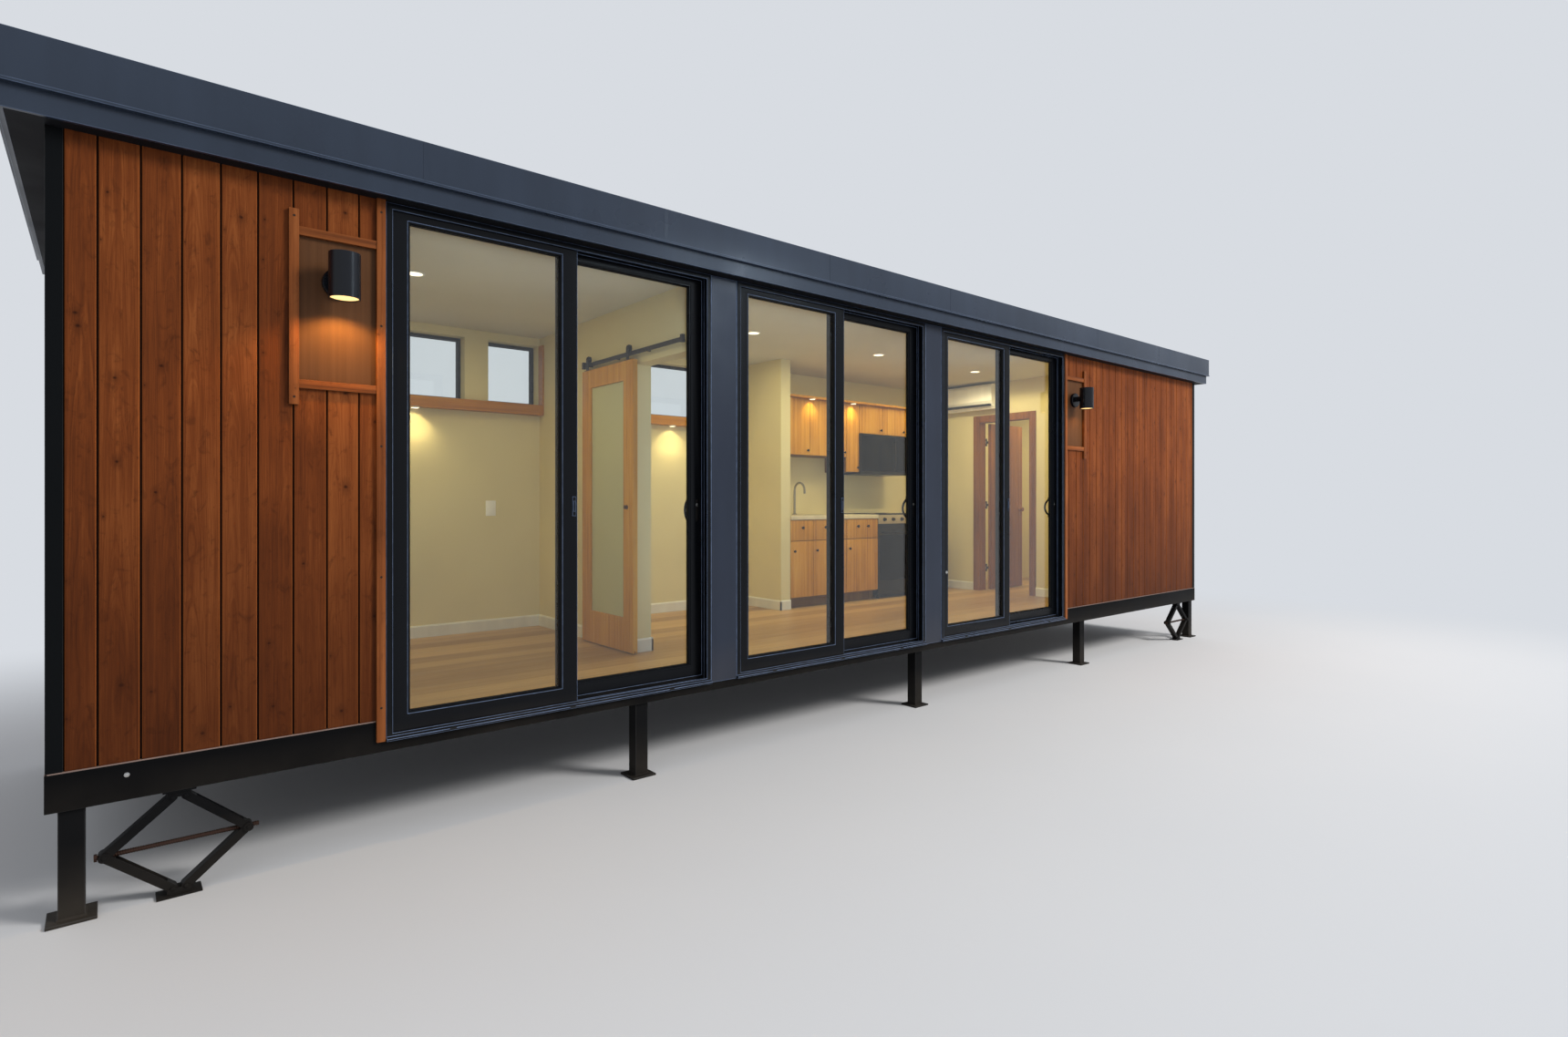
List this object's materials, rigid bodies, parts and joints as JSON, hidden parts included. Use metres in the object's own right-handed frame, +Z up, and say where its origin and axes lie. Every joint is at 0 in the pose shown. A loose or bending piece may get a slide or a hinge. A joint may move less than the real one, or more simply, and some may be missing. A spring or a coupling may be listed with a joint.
{
  "type": "container-style modular cabin",
  "caption": "Long flat-roofed timber-clad cabin on a raised steel chassis, with sliding glass doors in one long side, wall lamps, high back windows and built-in rooms.",
  "frame": {"origin": "on the ground, under the centre of the whole cabin's bounding box", "axes": "+X along the long side to the right as seen from the glass doors, the doors face -Y, +Z up"},
  "size_m": [10.368, 2.9064, 3.297],
  "materials": {
    "chassis_steel": "satin black paint, dusty near the ground",
    "screw_steel": "greased screw, reddish brown",
    "oak_floor": "pale oak boards, satin",
    "plaster": "matt cream paint",
    "cedar": "knotty cedar boards, orange-brown stain",
    "trim_metal": "charcoal paint, low sheen",
    "roof_sheet": "grey roof sheet, matt",
    "soffit_black": "black, matt",
    "door_metal": "black powder coat",
    "clear_glass": "clear double glass",
    "brown_panel": "smooth brown board",
    "lamp_metal": "black paint, low sheen",
    "warm_wood": "clear lacquered wood",
    "frosted_glass": "frosted",
    "track_steel": "dark bronze paint",
    "appliance_steel": "dark appliance finish",
    "white_plastic": "white housing"
  },
  "bodies": {
    "cabin": {"chassis_rails": "chassis_steel", "chassis_cross_members": "chassis_steel", "support_legs": "chassis_steel", "scissor_jacks": "chassis_steel", "jack_screws": "screw_steel", "floor": "oak_floor", "front_wall": "plaster", "back_wall": "plaster", "left_end_wall": "plaster", "right_end_wall": "plaster", "front_cladding": "cedar", "back_cladding": "cedar", "end_cladding": "cedar", "corner_trims": "trim_metal", "door_pilasters": "trim_metal", "roof_structure": "roof_sheet", "upper_fascia": "trim_metal", "lower_fascia": "trim_metal", "soffit": "soffit_black", "ceiling": "plaster", "door_frames": "door_metal", "fixed_panels": "door_metal", "fixed_glass": "clear_glass", "lamp_battens": "cedar", "lamp_panels": "brown_panel", "wall_lamps": "lamp_metal", "window_frames": "door_metal", "window_glass": "clear_glass", "window_ledges": "warm_wood", "partition_walls": "plaster", "doorway_headers": "plaster", "hanging_door_track": "track_steel", "bathroom_door_frame": "warm_wood", "kitchen_units": "warm_wood", "kitchen_appliances": "appliance_steel", "air_conditioner": "white_plastic"},
    "sliding_door_1": {"sliding_panel_1": "door_metal", "sliding_glass_1": "clear_glass"},
    "sliding_door_2": {"sliding_panel_2": "door_metal", "sliding_glass_2": "clear_glass"},
    "sliding_door_3": {"sliding_panel_3": "door_metal", "sliding_glass_3": "clear_glass"},
    "hanging_leaf": {"hanging_door": "warm_wood", "hanging_door_glass": "frosted_glass"},
    "bathroom_leaf": {"bathroom_door": "warm_wood"}
  },
  "joints": [
    {"name": "door_1_slide", "type": "slide", "parent": "cabin", "child": "sliding_door_1", "axis": [-1, 0, 0], "range_m": [0, 0.82]},
    {"name": "door_2_slide", "type": "slide", "parent": "cabin", "child": "sliding_door_2", "axis": [-1, 0, 0], "range_m": [0, 0.82]},
    {"name": "door_3_slide", "type": "slide", "parent": "cabin", "child": "sliding_door_3", "axis": [-1, 0, 0], "range_m": [0, 0.82]},
    {"name": "hanging_leaf_slide", "type": "slide", "parent": "cabin", "child": "hanging_leaf", "axis": [0, -1, 0], "range_m": [0, 0.605]},
    {"name": "bathroom_leaf_swing", "type": "hinge", "parent": "cabin", "child": "bathroom_leaf", "pos_m": [3.184, 0.38125, 0.8], "axis": [0, 0, 1], "range_deg": [-90, 15]}
  ]
}
